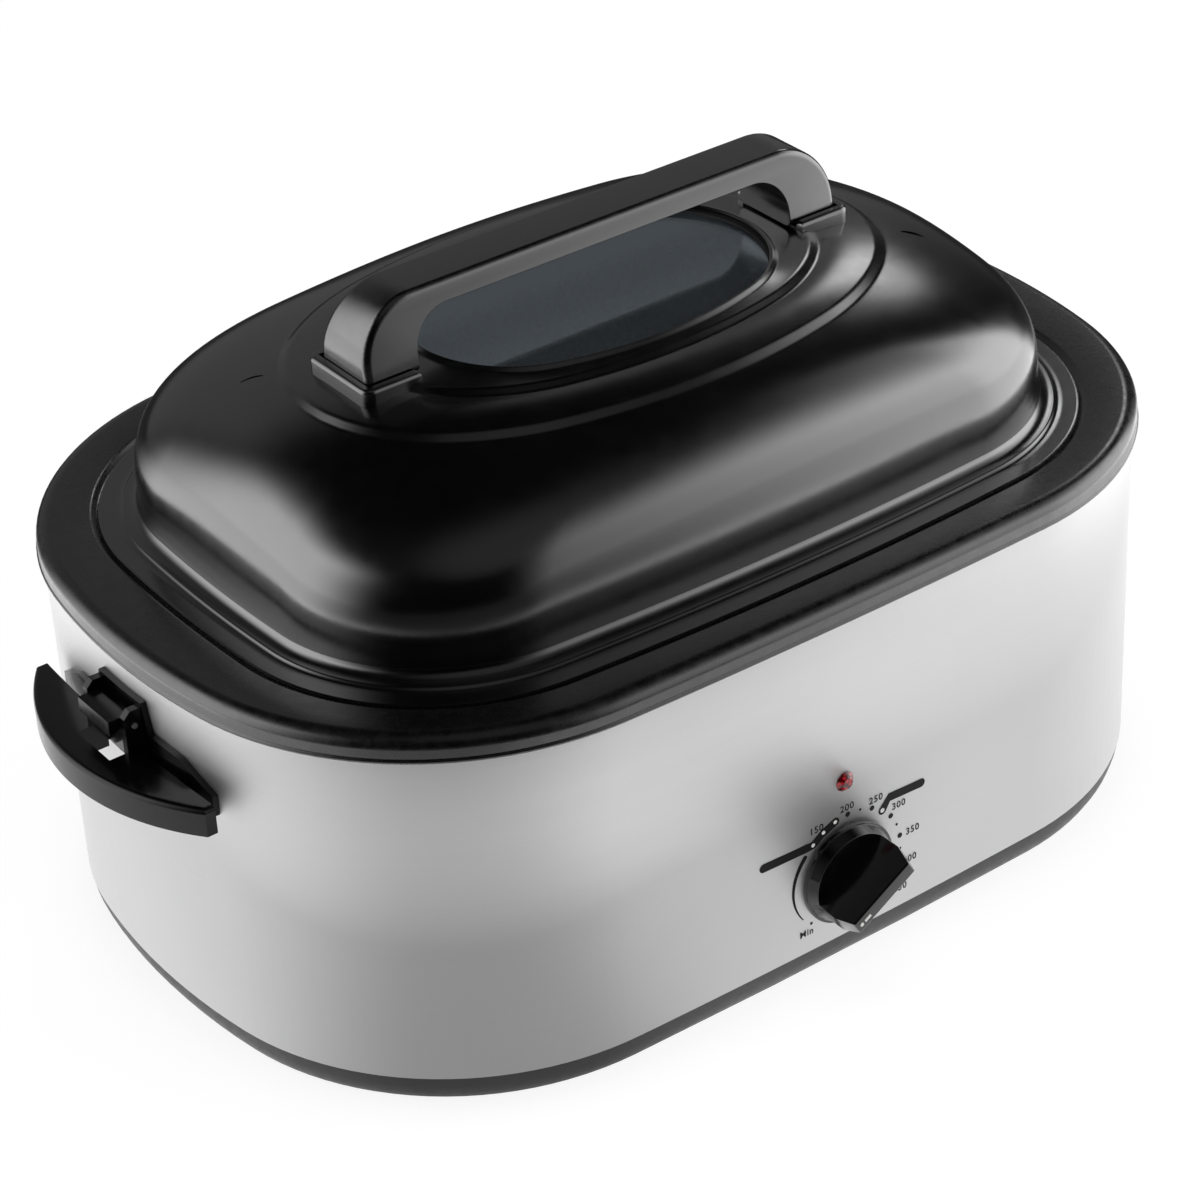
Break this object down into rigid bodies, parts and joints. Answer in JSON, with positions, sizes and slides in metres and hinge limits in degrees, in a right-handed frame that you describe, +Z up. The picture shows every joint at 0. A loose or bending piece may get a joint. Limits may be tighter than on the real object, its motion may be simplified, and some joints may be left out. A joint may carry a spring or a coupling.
{
  "type": "electric roaster oven",
  "caption": "Oblong countertop roaster oven with a lift-off domed lid, oval window, removable cookwell, side handles with fold-up lid rests and a control knob.",
  "frame": {"origin": "centre of the footprint, on the plane that the undersides of the four feet stand on", "axes": "+X along the long front to the right, -Y out of the front that carries the knob, +Z up"},
  "size_m": [0.6224, 0.421, 0.345],
  "materials": {
    "lid_enamel": "satin black enamel on pressed steel",
    "cookwell_enamel": "black non-stick enamel, semi-matt",
    "shell_steel": "brushed stainless steel",
    "base_black": "moulded black plastic",
    "inner_steel": "aluminised steel sheet",
    "handle_black": "moulded black phenolic, fine satin",
    "knob_black": "moulded black plastic",
    "pointer_white": "white paint in a recess",
    "glass_clear": "tempered glass",
    "gasket_rubber": "black silicone rubber",
    "lamp_red": "clear red faceted lens",
    "lamp_white": "heat resistant plastic",
    "foot_rubber": "black rubber",
    "fastener_steel": "zinc plated steel",
    "blanket_fibre": "glass fibre blanket",
    "heater_mica": "wrap-round heating band",
    "ceramic": "steatite ceramic",
    "wire_sleeve": "braided sleeving"
  },
  "bodies": {
    "root": {"base_tray": "base_black", "foot_1": "foot_rubber", "foot_2": "foot_rubber", "foot_3": "foot_rubber", "foot_4": "foot_rubber", "foot_screws": "fastener_steel", "outer_shell": "shell_steel", "liner": "inner_steel", "insulation_blanket": "blanket_fibre", "heater_band_lower": "heater_mica", "heater_band_upper": "heater_mica", "heater_terminals": "ceramic", "liner_bracket": "inner_steel", "centre_bolt": "fastener_steel", "thermostat": "ceramic", "thermostat_bracket": "inner_steel", "thermostat_nut": "fastener_steel", "thermostat_sensor": "inner_steel", "thermal_fuse": "fastener_steel", "terminal_block": "lamp_white", "wiring": "wire_sleeve", "cord_gland": "base_black", "lamp_lens": "lamp_red", "lamp_body": "lamp_white", "side_handle_left": "handle_black", "side_handle_screws_left": "fastener_steel", "lid_rest_pin_left": "fastener_steel", "side_handle_right": "handle_black", "side_handle_screws_right": "fastener_steel", "lid_rest_pin_right": "fastener_steel"},
    "cookwell": {"cookwell": "cookwell_enamel"},
    "lid": {"lid_shell": "lid_enamel", "window_glass": "glass_clear", "window_gasket": "gasket_rubber", "window_retainer": "lid_enamel", "window_screws": "fastener_steel", "lid_handle": "handle_black", "lid_handle_screws": "fastener_steel", "lid_handle_washers": "fastener_steel", "handle_pad_left": "handle_black", "handle_pad_right": "handle_black"},
    "knob": {"knob": "knob_black", "knob_shaft": "fastener_steel", "knob_pointer": "pointer_white"},
    "lid_rest_left": {"lid_rest_left": "handle_black"},
    "lid_rest_right": {"lid_rest_right": "handle_black"}
  },
  "joints": [
    {"name": "cookwell_lift", "type": "slide", "parent": "root", "child": "cookwell", "axis": [0, 0, 1], "range_m": [0, 0.19]},
    {"name": "lid_lift", "type": "slide", "parent": "cookwell", "child": "lid", "axis": [0, 0, 1], "range_m": [0, 0.12]},
    {"name": "knob_turn", "type": "hinge", "parent": "root", "child": "knob", "pos_m": [0, -0.2, 0.0587], "axis": [0, 1, 0], "range_deg": [-11, 257]},
    {"name": "lid_rest_right_swing", "type": "hinge", "parent": "root", "child": "lid_rest_right", "pos_m": [0.284, 0, 0.1797], "axis": [0, -1, 0], "range_deg": [0, 90]},
    {"name": "lid_rest_left_swing", "type": "hinge", "parent": "root", "child": "lid_rest_left", "pos_m": [-0.284, 0, 0.1797], "axis": [0, 1, 0], "range_deg": [0, 90]}
  ]
}
